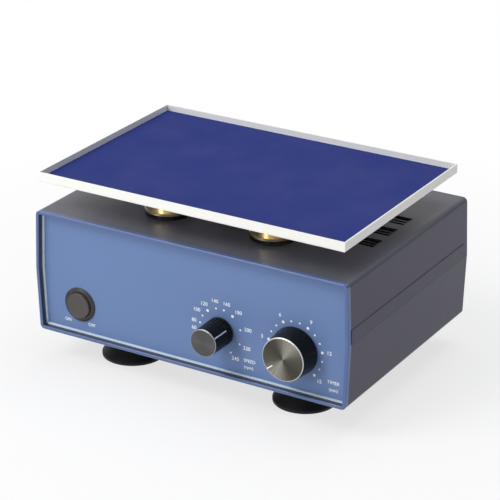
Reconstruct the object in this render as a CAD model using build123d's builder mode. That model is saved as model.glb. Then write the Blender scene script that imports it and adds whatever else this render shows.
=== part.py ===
from build123d import *
from math import cos, radians, sin, sqrt, tan
import os

os.makedirs("parts", exist_ok=True)

# Orbital shaker: a belt-driven crank under a tray that four idler cranks keep square.
# Millimetres, +Z up, bench at Z = 0, front towards -Y, origin under the middle of the
# whole object. The tray rests at the front of its orbit.

# Clearances
running_gap = 0.05
seat_gap = 0.05
slot_gap = 0.1
loose_gap = 0.3
axial_gap = 0.5

# Case: two moulded shells that meet at a parting line, with a proud belt above it
case_width = 333.6
case_depth = 233.7
case_height = 120.0
foot_height = 30.0
shell_wall = 2.4
side_draft = 2.3
edge_radius = 4.5
sharp_radius = 0.8
parting_rise = 62.5
belt_height = 13.5
belt_proud = 0.6
belt_stop = 7.0
lip_height = 3.0
lip_thickness = 1.4
rib_height = 3.0
rib_thickness = 2.0

# Front frame and panels
bezel_depth = 5.0
bezel_rim = 3.4
bezel_chamfer = 0.5
panel_recess = 6.9
panel_thickness = 2.0
rear_inset = 3.0
rear_panel_thickness = 2.0

# Vents in the cover and in the floor
vent_length = 34.0
vent_width = 18.0
vent_depth = 1.0
vent_pitch = 29.5
vent_rows = 3
vent_inset = 39.8
vent_y = 5.8
vent_slots = 3
vent_slot_width = 3.2
vent_margin = 2.0
floor_vent_length = 40.0
floor_vent_width = 3.0
floor_vent_pitch = 8.0
floor_vent_count = 6

# Screw columns that hold the two shells together
column_side_inset = 16.8
column_end_inset = 24.85
column_radius = 5.0
column_rib = 2.0
case_screw_radius = 1.75
case_screw_head_radius = 3.4
case_screw_head = 2.6
case_screw_bite = 9.0
case_screw_land = 12.0

# Suction feet
foot_x = 94.0
foot_y = 64.0
foot_radius = 30.0
foot_lip = 3.0
foot_lip_height = 2.6
foot_neck_radius = 12.5
foot_neck_height = 18.0
foot_pad_radius = 16.0
foot_pad_height = 3.5
foot_hollow = 5.5
foot_screw_radius = 2.5
foot_screw_head_radius = 5.0
foot_screw_head = 3.0
foot_screw_grip = 14.0

# Orbit and crank layout
orbit_radius = 10.0
drive_offset = 2.5
idler_x = 56.0
idler_y = 60.5
tray_clearance = 29.0

# Chassis inside the case
chassis_thickness = 3.0
chassis_flange = 12.0
chassis_corner = 10.0
chassis_side_margin = 10.0
chassis_end_margin = 11.5
chassis_drop = 46.0
pillar_side_step = 20.0
pillar_end_step = 16.0
pillar_radius = 6.0
pillar_boss_radius = 8.0
pillar_boss_height = 5.0
chassis_screw_radius = 2.0
chassis_screw_head_radius = 3.8
chassis_screw_head = 2.4
chassis_screw_grip = 12.0

# Bearings
idler_shaft_radius = 4.0
idler_bearing_radius = 11.0
idler_bearing_width = 7.0
main_shaft_radius = 6.0
main_bearing_radius = 16.0
main_bearing_width = 10.0
pin_radius = 3.0
pin_bearing_radius = 9.5
pin_bearing_width = 6.0
drive_pin_radius = 5.0
drive_pin_bearing_radius = 13.0
drive_pin_bearing_width = 8.0
shield_depth = 0.4
race_share = 0.28

# Bearing housings on the chassis
housing_wall = 3.5
housing_flange = 5.5
housing_flange_height = 4.0
housing_height = 33.0
housing_shoulder = 1.6
main_housing_wall = 5.0
main_housing_flange = 12.0
main_housing_height = 34.0

# Crank hubs, collars and pins between the cover and the tray
hub_radius = 15.0
drive_hub_radius = 19.0
hub_height = 16.5
hub_chamfer = 1.0
collar_flange = 1.5
collar_spigot = 4.0
collar_rim = 6.0
collar_wall = 4.3
pin_bite = 11.0
shaft_bite = 14.0
drive_pin_bite = 7.5
main_shaft_bite = 8.0
shaft_head_radius = 5.5
shaft_head = 2.0
counterweight_radius = 50.0
counterweight_clamp = 26.0
counterweight_height = 8.0
counterweight_side = 10.0

# Belt drive
speed_ratio = 4.0
motor_pulley_pitch = 14.0
motor_inset = 61.8
v_belt_width = 9.4
v_belt_thickness = 6.0
v_belt_pitch_depth = 1.5
v_belt_half_angle = 20.0
pulley_width = 14.0
pulley_rim = 2.0
groove_relief = 1.5
pulley_web = 5.0
pulley_rim_wall = 4.0
pulley_hub_radius = 14.0
pulley_hub_height = 20.0
pulley_drop = 2.0
pulley_hole_radius = 9.0
pulley_hole_count = 6

# Motor and its bracket
motor_radius = 30.0
motor_floor_gap = 8.6
motor_end_wall = 8.0
motor_shaft_radius = 4.0
motor_nose_radius = 9.0
motor_nose_height = 3.0
motor_edge = 2.0
motor_gap = 3.0
bracket_thickness = 3.0
bracket_length = 66.0
bracket_side = 4.0
bracket_foot = 14.0

# M3 cap screws that fasten the housings, the motor, its bracket and the board
mount_screw_radius = 1.5
mount_screw_grip = 8.0
mount_screw_head_radius = 2.7
mount_screw_head = 1.9
mount_boss_radius = 4.0
motor_screw_circle = 22.0
bracket_screw_x = 25.0

# Mains transformer and control board
transformer_inset = 48.8
transformer_y = 40.0
core_width = 57.0
core_height = 48.0
core_depth = 20.0
core_leg = 19.0
core_yoke = 9.5
coil_depth = 38.0
coil_clearance = 0.5
board_inset = 61.8
board_y = -27.0
board_width = 84.0
board_depth = 60.0
board_thickness = 1.6
board_rise = 8.0
board_margin = 5.0
capacitor_radius = 8.0
capacitor_height = 22.0
capacitor_places = [(-24.0, 14.0), (-24.0, -8.0)]
heat_sink_width = 26.0
heat_sink_depth = 12.0
heat_sink_height = 24.0
heat_sink_place = (22.0, 10.0)
relay_width = 30.0
relay_depth = 16.0
relay_height = 12.0
relay_place = (20.0, -14.0)

# Tray
tray_width = 320.0
tray_depth = 216.0
tray_rim = 9.4
tray_sheet = 1.2
tray_bend = 1.2
mat_thickness = 2.5
mat_gap = 0.3
cup_wall = 3.0
cup_flange = 7.5
cup_flange_height = 2.0
cup_relief = 2.0
tray_screw_radius = 1.5
tray_screw_head_radius = 2.7

# Controls, placed on the front panel
button_inset = 45.2
button_rise = 31.6
button_radius = 12.5
button_reach = 4.6
button_length = 9.0
button_travel = 2.5
button_dish = 0.6
ring_radius = 16.85
ring_height = 2.0
switch_radius = 14.5
switch_depth = 26.0
spring_radius = 4.0
spring_wire = 0.9
spring_turns = 3.0
stem_radius = 2.5
stem_length = 5.0
speed_inset = 134.8
speed_rise = 42.1
speed_radius = 13.8
speed_top_radius = 13.3
speed_reach = 29.6
speed_flutes = 24
speed_pointer_share = 0.7
speed_pointer_angle = 60.0
timer_inset = 57.4
timer_rise = 42.4
timer_radius = 22.9
timer_top_radius = 20.8
timer_reach = 22.3
timer_ring_groove = 0.4
timer_ring_places = (2.0, 3.6)
timer_pointer_angle = -128.0
timer_pointer_span = (0.62, 0.97)
knob_gap = 1.2
knob_wall = 3.0
knob_hollow = 7.0
flute_radius = 0.7
knob_cap = 1.2
knob_cap_rim = 1.5
pointer_width = 1.2
pointer_depth = 0.4
spindle_radius = 3.0
bushing_radius = 4.5
bushing_length = 5.0
nut_size = 12.0
nut_height = 2.2
speed_pot_radius = 12.0
speed_pot_depth = 11.0
timer_body_radius = 22.0
timer_body_depth = 26.0

# Mains inlet on the rear panel
inlet_inset = 56.8
inlet_rise = 36.0
inlet_width = 28.0
inlet_height = 33.0
inlet_depth = 24.0
inlet_flange_width = 50.0
inlet_flange = 2.4
inlet_corner = 3.0
socket_width = 24.0
socket_height = 16.4
socket_depth = 16.0
socket_rise = 6.0
socket_corner = 4.0
blade_width = 2.0
blade_height = 4.0
blade_length = 14.0
blade_spread = 7.0
blade_drop = 1.8
drawer_width = 20.0
drawer_height = 8.0
drawer_drop = 9.4
drawer_depth = 15.0
inlet_screw_radius = 1.5
inlet_screw_head_radius = 2.8
inlet_screw_spread = 20.0

# Heights
case_bottom = foot_height
case_top = case_bottom + case_height
floor_top = case_bottom + shell_wall
parting = case_bottom + parting_rise
button_z = case_bottom + button_rise
speed_z = case_bottom + speed_rise
timer_z = case_bottom + timer_rise
inlet_z = case_bottom + inlet_rise
chassis_bottom = case_top - chassis_drop
chassis_top = chassis_bottom + chassis_thickness
tray_bottom = case_top + tray_clearance
collar_top = case_top + collar_flange
hub_bottom = collar_top + axial_gap
hub_top = hub_bottom + hub_height
cup_bottom = hub_top + 2 * axial_gap
pulley_hub_top = chassis_bottom - pulley_drop
pulley_middle = pulley_hub_top - pulley_hub_height / 2

# Bearings, as inner radius, outer radius and width
idler_bearing = (idler_shaft_radius, idler_bearing_radius, idler_bearing_width)
main_bearing = (main_shaft_radius, main_bearing_radius, main_bearing_width)
pin_bearing = (pin_radius, pin_bearing_radius, pin_bearing_width)
drive_pin_bearing = (drive_pin_radius, drive_pin_bearing_radius, drive_pin_bearing_width)

# Places, as seen from above with the middle of the case at zero
side_reach = case_width / 2
front_reach = case_depth / 2 - panel_recess + speed_reach
rear_reach = case_depth / 2
case_middle = (front_reach - rear_reach) / 2
case_front = case_middle - case_depth / 2
vent_x = side_reach - vent_inset
column_x = side_reach - column_side_inset
column_y = rear_reach - column_end_inset
motor_distance = side_reach - motor_inset
transformer_x = side_reach - transformer_inset
board_x = side_reach - board_inset
button_x = button_inset - side_reach
speed_x = side_reach - speed_inset
timer_x = side_reach - timer_inset
inlet_x = inlet_inset - side_reach
pillar_x = idler_x + pillar_side_step
pillar_y = idler_y + pillar_end_step
chassis_width = 2 * (pillar_x + chassis_side_margin)
chassis_depth = 2 * (pillar_y + chassis_end_margin)
drive_place = (0.0, drive_offset)
motor_place = (-motor_distance, drive_offset)
idler_places = {
    "front_left": (-idler_x, drive_offset - idler_y),
    "front_right": (idler_x, drive_offset - idler_y),
    "rear_left": (-idler_x, drive_offset + idler_y),
    "rear_right": (idler_x, drive_offset + idler_y),
}
shaft_places = list(idler_places.values())
pin_places = [(x, y - orbit_radius) for x, y in shaft_places]
drive_pin_place = (0.0, drive_offset - orbit_radius)
foot_places = [(x, y) for x in (-foot_x, foot_x) for y in (-foot_y, foot_y)]
column_places = [(x, y) for x in (-column_x, column_x) for y in (-column_y, column_y)]
pillar_places = [(x, drive_offset + y) for x in (-pillar_x, pillar_x) for y in (-pillar_y, pillar_y)]
board_screw_places = [
    (board_x + side * (board_width / 2 - board_margin), board_y + end * (board_depth / 2 - board_margin))
    for side in (-1, 1)
    for end in (-1, 1)
]
boss_top = floor_top + board_rise
leg_offset = motor_radius + bracket_side + bracket_thickness / 2
foot_offset = leg_offset + (bracket_foot - bracket_thickness) / 2
screw_offset = leg_offset + bracket_foot / 2
bracket_sides = [(drive_offset + side * leg_offset, drive_offset + side * foot_offset) for side in (-1, 1)]
bracket_screw_places = [
    (x - motor_distance, drive_offset + side * screw_offset)
    for x in (-bracket_screw_x, bracket_screw_x)
    for side in (-1, 1)
]
motor_screw_places = [
    (side * motor_screw_circle * cos(radians(45)) - motor_distance, y)
    for side in (-1, 1)
    for y in (
        drive_offset - motor_screw_circle * sin(radians(45)),
        drive_offset + motor_screw_circle * sin(radians(45)),
    )
]


def level(height):
    """Flat plane at a height above the bench, centred on the case."""
    return Plane(origin=(0, case_middle, height))


def across(distance):
    """Upright plane this far behind the front of the case, seen from the front."""
    return Plane(origin=(0, case_front + distance, 0), x_dir=(1, 0, 0), z_dir=(0, -1, 0))


def posts(places, radius, bottom, top):
    """Round posts, or the holes for them, between two heights."""
    with BuildPart() as made:
        with BuildSketch(level(bottom)):
            with Locations(*places):
                Circle(radius)
        extrude(amount=top - bottom)
    return made.part


def barrels(places, radius, start, end):
    """Round bars along the depth, between two distances behind the front."""
    with BuildPart() as made:
        with BuildSketch(across(start)):
            with Locations(*places):
                Circle(radius)
        extrude(amount=start - end)
    return made.part


def slab(place, width, depth, bottom, top):
    """Box with its base centred on a place, between two heights."""
    with BuildPart() as made:
        with BuildSketch(level(bottom)):
            with Locations(place):
                Rectangle(width, depth)
        extrude(amount=top - bottom)
    return made.part


def case_outline(inset):
    """Front view of the case, drawn this far inside its outer faces."""
    end_half = case_width / 2 - belt_proud - side_draft - inset
    middle_half = case_width / 2 - belt_proud - inset
    low = case_bottom + inset
    high = case_top - inset
    bend = max(edge_radius - inset, sharp_radius)
    with BuildSketch(mode=Mode.PRIVATE) as outline:
        with BuildLine():
            FilletPolyline(
                (-end_half, low),
                (end_half, low),
                (middle_half, parting),
                (end_half, high),
                (-end_half, high),
                (-middle_half, parting),
                radius=[bend, bend, 0, bend, bend, 0],
                close=True,
            )
        make_face()
    return outline.sketch


def case_ring(start, length, outer_inset, inner_inset, low=0.0, high=case_top * 2):
    """Band that follows the walls of the case, kept between two heights."""
    with BuildPart() as made:
        with BuildSketch(across(start)):
            add(case_outline(outer_inset))
            add(case_outline(inner_inset), mode=Mode.SUBTRACT)
            with Locations((0, (low + high) / 2)):
                Rectangle(case_width * 2, high - low, mode=Mode.INTERSECT)
        extrude(amount=-length)
    return made.part


def turned(profile, place):
    """Ring or shaft turned from (radius, height) corners about a place's upright axis."""
    centre = (place[0], case_middle + place[1], 0)
    with BuildPart() as made:
        with BuildSketch(Plane(origin=centre, x_dir=(1, 0, 0), z_dir=(0, -1, 0))):
            with BuildLine():
                Polyline(*profile, close=True)
            make_face()
        revolve(axis=Axis(centre, (0, 0, 1)))
    return made.part


def spun(profile, place):
    """Knob or plug turned from (radius, distance behind the front) corners."""
    centre = (place[0], case_front, place[1])
    with BuildPart() as made:
        with BuildSketch(Plane(origin=centre, x_dir=(1, 0, 0), z_dir=(0, 0, 1))):
            with BuildLine():
                Polyline(*profile, close=True)
            make_face()
        revolve(axis=Axis(centre, (0, 1, 0)))
    return made.part


def bearing_profile(bearing, bottom):
    """Sealed ball bearing with its shields set back between the two races."""
    inner, outer, width = bearing
    top = bottom + width
    bore = inner + running_gap
    shield_inner = bore + race_share * (outer - bore)
    shield_outer = outer - race_share * (outer - bore)
    return [
        (bore, bottom),
        (shield_inner, bottom),
        (shield_inner, bottom + shield_depth),
        (shield_outer, bottom + shield_depth),
        (shield_outer, bottom),
        (outer, bottom),
        (outer, top),
        (shield_outer, top),
        (shield_outer, top - shield_depth),
        (shield_inner, top - shield_depth),
        (shield_inner, top),
        (bore, top),
    ]


def save(builder, name):
    """Label a finished piece and write its STEP file."""
    builder.part.label = name
    export_step(builder.part, f"parts/{name}.step")


# Both shells are cut from one tube, so their walls and panel slots line up
front_rib = panel_recess + panel_thickness + slot_gap
rear_panel_face = case_depth - rear_inset
rear_rib = rear_panel_face - rear_panel_thickness - slot_gap - rib_thickness
rear_frame = rear_panel_face + slot_gap

with BuildPart() as case_tube:
    add(case_ring(bezel_depth, case_depth - bezel_depth, 0, shell_wall))
    add(case_ring(front_rib, rib_thickness, shell_wall / 2, shell_wall + rib_height))
    add(case_ring(rear_rib, rib_thickness, shell_wall / 2, shell_wall + rib_height))
    add(case_ring(rear_frame, case_depth - rear_frame, shell_wall / 2, shell_wall + rib_height))

screw_land = parting - case_screw_land
screw_tip = parting + case_screw_bite
rib_end = parting - 2 * lip_height
wall_inside = case_width / 2 - belt_proud - side_draft - shell_wall
pillar_bottom = floor_top + pillar_boss_height
pillar_land = case_bottom + chassis_screw_head + loose_gap

with BuildPart() as lower_case:
    add(case_tube.part)
    split(bisect_by=level(parting), keep=Keep.BOTTOM)
    add(posts(column_places, column_radius, case_bottom + shell_wall / 2, parting))
    for x, y in column_places:
        side = 1 if x > 0 else -1
        rib_span = wall_inside + shell_wall / 2 - column_x
        add(slab((x + side * rib_span / 2, y), rib_span, column_rib, case_bottom + shell_wall / 2, rib_end))
    add(posts(column_places, case_screw_head_radius + loose_gap, case_bottom, screw_land), mode=Mode.SUBTRACT)
    add(posts(column_places, case_screw_radius + slot_gap, screw_land, parting), mode=Mode.SUBTRACT)
    add(posts(pillar_places, pillar_boss_radius, case_bottom + shell_wall / 2, pillar_bottom))
    add(posts(pillar_places, chassis_screw_radius + slot_gap, case_bottom, pillar_bottom), mode=Mode.SUBTRACT)
    counterbore = chassis_screw_head_radius + loose_gap
    add(posts(pillar_places, counterbore, case_bottom, pillar_land), mode=Mode.SUBTRACT)
    add(posts(foot_places, foot_screw_radius + slot_gap, case_bottom, floor_top), mode=Mode.SUBTRACT)
    boss_places = board_screw_places + bracket_screw_places
    boss_bore = mount_screw_radius + seat_gap
    add(posts(boss_places, mount_boss_radius, case_bottom + shell_wall / 2, boss_top))
    add(posts(boss_places, boss_bore, boss_top - mount_screw_grip, boss_top), mode=Mode.SUBTRACT)
    with BuildSketch(level(case_bottom)):
        with GridLocations(0, floor_vent_pitch, 1, floor_vent_count):
            SlotOverall(floor_vent_length, floor_vent_width)
    extrude(amount=shell_wall, mode=Mode.SUBTRACT)
save(lower_case, "lower_case")

spigot_radius = hub_radius + slot_gap
drive_spigot_radius = drive_hub_radius + slot_gap
lip_start = front_rib + rib_thickness + loose_gap
lip_length = rear_rib - loose_gap - lip_start
vent_sides = (-vent_x, vent_x)

with BuildPart() as upper_case:
    add(case_tube.part)
    split(bisect_by=level(parting), keep=Keep.TOP)
    add(case_ring(
        bezel_depth,
        case_depth - bezel_depth - belt_stop,
        -belt_proud,
        shell_wall / 2,
        parting,
        parting + belt_height,
    ))
    add(case_ring(
        lip_start,
        lip_length,
        shell_wall / 2,
        shell_wall + lip_thickness,
        parting,
        parting + lip_height,
    ))
    add(case_ring(
        lip_start,
        lip_length,
        shell_wall + slot_gap,
        shell_wall + lip_thickness,
        parting - lip_height,
        parting,
    ))
    add(posts(column_places, column_radius, parting, case_top - shell_wall / 2))
    add(posts(column_places, case_screw_radius + seat_gap, parting, screw_tip), mode=Mode.SUBTRACT)
    add(posts(shaft_places, spigot_radius + slot_gap, case_top - shell_wall, case_top), mode=Mode.SUBTRACT)
    add(
        posts([drive_place], drive_spigot_radius + slot_gap, case_top - shell_wall, case_top),
        mode=Mode.SUBTRACT,
    )
    with BuildSketch(level(case_top)):
        for x in vent_sides:
            with Locations((x, vent_y)):
                with GridLocations(0, vent_pitch, 1, vent_rows):
                    Rectangle(vent_length, vent_width)
    extrude(amount=-vent_depth, mode=Mode.SUBTRACT)
    slot_pitch = (vent_width - vent_margin) / vent_slots
    with BuildSketch(level(case_top)):
        for x in vent_sides:
            with Locations((x, vent_y)):
                with GridLocations(0, vent_pitch, 1, vent_rows):
                    with GridLocations(0, slot_pitch, 1, vent_slots):
                        SlotOverall(vent_length - 2 * vent_margin, vent_slot_width)
    extrude(amount=-shell_wall, mode=Mode.SUBTRACT)
save(upper_case, "upper_case")

with BuildPart() as front_bezel:
    add(case_ring(0, bezel_depth, 0, bezel_rim))
    add(case_ring(bezel_depth, panel_recess - bezel_depth, shell_wall + slot_gap, bezel_rim))
    chamfer(front_bezel.faces().sort_by(Axis.Y)[0].edges(), bezel_chamfer)
save(front_bezel, "front_bezel")

panel_back = panel_recess + panel_thickness
panel_inset = shell_wall + loose_gap

with BuildPart() as front_panel:
    with BuildSketch(across(panel_recess)):
        add(case_outline(panel_inset))
        with Locations((button_x, button_z)):
            Circle(switch_radius + slot_gap, mode=Mode.SUBTRACT)
        with Locations((speed_x, speed_z), (timer_x, timer_z)):
            Circle(bushing_radius + slot_gap, mode=Mode.SUBTRACT)
    extrude(amount=-panel_thickness)
save(front_panel, "front_panel")

screw_xs = (inlet_x - inlet_screw_spread, inlet_x + inlet_screw_spread)

with BuildPart() as rear_panel:
    with BuildSketch(across(rear_panel_face - rear_panel_thickness)):
        add(case_outline(panel_inset))
        with Locations((inlet_x, inlet_z)):
            Rectangle(inlet_width + 2 * slot_gap, inlet_height + 2 * slot_gap, mode=Mode.SUBTRACT)
        with Locations(*[(x, inlet_z) for x in screw_xs]):
            Circle(inlet_screw_radius + slot_gap, mode=Mode.SUBTRACT)
    extrude(amount=-rear_panel_thickness)
save(rear_panel, "rear_panel")

# Rubber cups, each with a blind bore for the screw that comes down through the floor
foot_bore = foot_screw_radius + seat_gap
screw_bottom = case_bottom - foot_screw_grip
cone_top = foot_neck_height + foot_lip_height

with BuildPart() as suction_feet:
    for place in foot_places:
        add(turned(
            [
                (0, screw_bottom),
                (foot_bore, screw_bottom),
                (foot_bore, case_bottom),
                (foot_pad_radius, case_bottom),
                (foot_pad_radius, case_bottom - foot_pad_height),
                (foot_neck_radius, cone_top),
                (foot_neck_radius, foot_neck_height),
                (foot_radius, foot_lip_height),
                (foot_radius, 0),
                (foot_radius - foot_lip, 0),
                (foot_neck_radius, foot_hollow),
                (0, foot_hollow + foot_lip),
            ],
            place,
        ))
save(suction_feet, "suction_feet")

with BuildPart() as foot_screws:
    add(posts(foot_places, foot_screw_radius, screw_bottom, floor_top))
    add(posts(foot_places, foot_screw_head_radius, floor_top, floor_top + foot_screw_head))
    chamfer(foot_screws.faces().group_by(Axis.Z)[-1].edges(), foot_screw_head / 4)
save(foot_screws, "foot_screws")

with BuildPart() as case_screws:
    add(posts(column_places, case_screw_head_radius, screw_land - case_screw_head, screw_land))
    add(posts(column_places, case_screw_radius, screw_land, screw_tip - axial_gap))
save(case_screws, "case_screws")

housing_reach = idler_bearing[1] + housing_wall + housing_flange / 2
main_reach = main_bearing[1] + main_housing_wall + main_housing_flange / 2
idler_screw_places = [(x + side * housing_reach, y) for x, y in shaft_places for side in (-1, 1)]
main_screw_places = [(side * main_reach, drive_offset) for side in (-1, 1)]
housing_screw_places = idler_screw_places + main_screw_places

# Chassis: a folded steel plate on four pillars, which carries every bearing housing
with BuildPart() as chassis_plate:
    with BuildSketch(level(chassis_bottom)):
        with Locations(drive_place):
            RectangleRounded(chassis_width, chassis_depth, chassis_corner)
            Circle(main_bearing[1] - chassis_thickness, mode=Mode.SUBTRACT)
        with Locations(*shaft_places):
            Circle(idler_bearing[1] - chassis_thickness, mode=Mode.SUBTRACT)
        with Locations(*pillar_places):
            Circle(chassis_screw_radius + slot_gap, mode=Mode.SUBTRACT)
        with Locations(*housing_screw_places):
            Circle(mount_screw_radius + seat_gap, mode=Mode.SUBTRACT)
    extrude(amount=chassis_thickness)
    for side in (-1, 1):
        flange_y = drive_offset + side * (chassis_depth - chassis_thickness) / 2
        flange_width = chassis_width - 2 * chassis_corner
        flange_bottom = chassis_bottom - chassis_flange
        add(slab((0, flange_y), flange_width, chassis_thickness, flange_bottom, chassis_top))
save(chassis_plate, "chassis_plate")

with BuildPart() as chassis_pillars:
    add(posts(pillar_places, pillar_radius, pillar_bottom, chassis_bottom))
    pillar_bore = chassis_screw_radius + seat_gap
    add(posts(pillar_places, pillar_bore, pillar_bottom, chassis_bottom), mode=Mode.SUBTRACT)
save(chassis_pillars, "chassis_pillars")

with BuildPart() as chassis_screws:
    add(posts(pillar_places, chassis_screw_radius, chassis_bottom - chassis_screw_grip, chassis_top))
    add(posts(pillar_places, chassis_screw_head_radius, chassis_top, chassis_top + chassis_screw_head))
    add(posts(pillar_places, chassis_screw_radius, pillar_land, pillar_bottom + chassis_screw_grip))
    add(posts(pillar_places, chassis_screw_head_radius, pillar_land - chassis_screw_head, pillar_land))
save(chassis_screws, "chassis_screws")


def housing_profile(bearing, wall, flange, height):
    """Flanged cup with a shoulder between its lower and upper bearing."""
    outer, width = bearing[1:]
    seat = outer + seat_gap
    shoulder = outer - housing_shoulder
    top = chassis_top + height
    return [
        (seat, chassis_top),
        (outer + wall + flange, chassis_top),
        (outer + wall + flange, chassis_top + housing_flange_height),
        (outer + wall, chassis_top + housing_flange_height),
        (outer + wall, top),
        (seat, top),
        (seat, top - width),
        (shoulder, top - width),
        (shoulder, chassis_top + width),
        (seat, chassis_top + width),
    ]


with BuildPart() as main_bearing_housing:
    main_housing = housing_profile(
        main_bearing, main_housing_wall, main_housing_flange, main_housing_height
    )
    add(turned(main_housing, drive_place))
    flange_top = chassis_top + housing_flange_height
    flange_hole = mount_screw_radius + slot_gap
    add(posts(main_screw_places, flange_hole, chassis_top, flange_top), mode=Mode.SUBTRACT)
save(main_bearing_housing, "main_bearing_housing")

with BuildPart() as idler_bearing_housings:
    for place in shaft_places:
        add(turned(housing_profile(idler_bearing, housing_wall, housing_flange, housing_height), place))
    add(posts(idler_screw_places, flange_hole, chassis_top, flange_top), mode=Mode.SUBTRACT)
save(idler_bearing_housings, "idler_bearing_housings")

with BuildPart() as main_bearings:
    for bottom in (chassis_top, chassis_top + main_housing_height - main_bearing[2]):
        add(turned(bearing_profile(main_bearing, bottom), drive_place))
save(main_bearings, "main_bearings")

with BuildPart() as idler_bearings:
    for place in shaft_places:
        for bottom in (chassis_top, chassis_top + housing_height - idler_bearing[2]):
            add(turned(bearing_profile(idler_bearing, bottom), place))
save(idler_bearings, "idler_bearings")


def collar_profile(shaft_radius, spigot):
    """Seal that fills the opening in the cover and stands proud of it as a flat ring."""
    bore = shaft_radius + collar_wall
    return [
        (bore, case_top - collar_spigot),
        (spigot, case_top - collar_spigot),
        (spigot, case_top),
        (spigot + collar_rim, case_top),
        (spigot + collar_rim, collar_top),
        (bore, collar_top),
    ]


with BuildPart() as crank_seals:
    for place in shaft_places:
        add(turned(collar_profile(idler_bearing[0], spigot_radius), place))
    add(turned(collar_profile(main_bearing[0], drive_spigot_radius), drive_place))
save(crank_seals, "crank_seals")


def hub_profile(radius):
    """Crank hub between the seal and the tray's bearing cup, bevelled on top."""
    return [
        (0, hub_bottom),
        (radius, hub_bottom),
        (radius, hub_top - hub_chamfer),
        (radius - hub_chamfer, hub_top),
        (0, hub_top),
    ]


# Idler cranks: a brass hub on its own shaft, with the crank pin set off by the orbit
shaft_top = hub_bottom + shaft_bite
pin_bottom = hub_top - pin_bite
pin_top = cup_bottom + pin_bearing[2] + axial_gap
head_top = chassis_top - axial_gap

for name, (x, y) in idler_places.items():
    shaft_place = [(x, y)]
    pin_place = [(x, y - orbit_radius)]
    with BuildPart() as idler_hub:
        add(turned(hub_profile(hub_radius), (x, y)))
        add(posts(shaft_place, idler_bearing[0] + seat_gap, hub_bottom, shaft_top), mode=Mode.SUBTRACT)
        add(posts(pin_place, pin_bearing[0] + seat_gap, pin_bottom, hub_top), mode=Mode.SUBTRACT)
    save(idler_hub, f"idler_hub_{name}")

    with BuildPart() as idler_pins:
        add(posts(shaft_place, shaft_head_radius, head_top - shaft_head, head_top))
        add(posts(shaft_place, idler_bearing[0], head_top, shaft_top))
        add(posts(pin_place, pin_bearing[0], pin_bottom, pin_top))
    save(idler_pins, f"idler_pins_{name}")

# Drive crank: main shaft, hub, pin and a counterweight opposite the pin
shaft_end = hub_bottom + main_shaft_bite
drive_pin_bottom = hub_top - drive_pin_bite

with BuildPart() as drive_crank:
    add(turned(hub_profile(drive_hub_radius), drive_place))
    add(posts([drive_place], main_bearing[0] + seat_gap, hub_bottom, shaft_end), mode=Mode.SUBTRACT)
    add(
        posts([drive_pin_place], drive_pin_bearing[0] + seat_gap, drive_pin_bottom, hub_top),
        mode=Mode.SUBTRACT,
    )
save(drive_crank, "drive_crank")

with BuildPart() as main_shaft:
    add(posts([drive_place], main_bearing[0], pulley_hub_top - pulley_hub_height, shaft_end))
    chamfer(main_shaft.edges().filter_by(GeomType.CIRCLE), axial_gap)
save(main_shaft, "main_shaft")

with BuildPart() as drive_pin:
    add(posts([drive_pin_place], drive_pin_bearing[0], drive_pin_bottom, cup_bottom + drive_pin_bearing[2]))
    chamfer(drive_pin.edges().filter_by(GeomType.CIRCLE), axial_gap)
save(drive_pin, "drive_pin")

weight_bottom = (hub_bottom + hub_top - counterweight_height) / 2

with BuildPart() as counterweight:
    with BuildSketch(level(weight_bottom)):
        with Locations(drive_place):
            Circle(counterweight_radius)
        with Locations((0, drive_offset + counterweight_side + counterweight_radius)):
            Rectangle(2 * counterweight_radius, 2 * counterweight_radius, mode=Mode.INTERSECT)
        with Locations(drive_place):
            Circle(counterweight_clamp)
            Circle(drive_hub_radius + seat_gap, mode=Mode.SUBTRACT)
    extrude(amount=counterweight_height)
save(counterweight, "counterweight")

# Belt drive: both pulleys and the belt share one groove section
driven_pitch = motor_pulley_pitch * speed_ratio
flank_slope = tan(radians(v_belt_half_angle))
flank_gap = loose_gap / cos(radians(v_belt_half_angle))


def belt_half_width(depth):
    """Half width of the belt at a depth below its outer face."""
    return v_belt_width / 2 - depth * flank_slope


def pulley_profile(pitch, bore, hub_half, hub_radius_here):
    """Grooved pulley: rim and groove at the belt, with a plain hub at the bore."""
    outer = pitch + pulley_rim
    groove_bottom = pitch + v_belt_pitch_depth - v_belt_thickness - groove_relief
    mouth = belt_half_width(v_belt_pitch_depth - pulley_rim) + flank_gap
    root = belt_half_width(v_belt_thickness + groove_relief) + flank_gap
    half = pulley_width / 2
    upper = [
        (groove_bottom, pulley_middle + root),
        (outer, pulley_middle + mouth),
        (outer, pulley_middle + half),
    ]
    web_outer = groove_bottom - pulley_rim_wall
    if web_outer > hub_radius_here:
        upper += [
            (web_outer, pulley_middle + half),
            (web_outer, pulley_middle + pulley_web / 2),
            (hub_radius_here, pulley_middle + pulley_web / 2),
            (hub_radius_here, pulley_middle + hub_half),
        ]
    upper += [(bore, pulley_middle + max(hub_half, half))]
    lower = [(radius, 2 * pulley_middle - height) for radius, height in reversed(upper)]
    return upper + lower


with BuildPart() as driven_pulley:
    driven_bore = main_bearing[0] + seat_gap
    driven_groove = pulley_profile(driven_pitch, driven_bore, pulley_hub_height / 2, pulley_hub_radius)
    add(turned(driven_groove, drive_place))
    hole_circle = (pulley_hub_radius + driven_pitch - v_belt_thickness - pulley_rim_wall) / 2
    with BuildSketch(level(pulley_middle - pulley_web / 2)):
        with Locations(drive_place):
            with PolarLocations(hole_circle, pulley_hole_count):
                Circle(pulley_hole_radius)
    extrude(amount=pulley_web, mode=Mode.SUBTRACT)
save(driven_pulley, "driven_pulley")

with BuildPart() as motor_pulley:
    motor_bore = motor_shaft_radius + seat_gap
    motor_groove = pulley_profile(motor_pulley_pitch, motor_bore, pulley_width / 2, motor_pulley_pitch)
    add(turned(motor_groove, motor_place))
save(motor_pulley, "motor_pulley")

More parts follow.
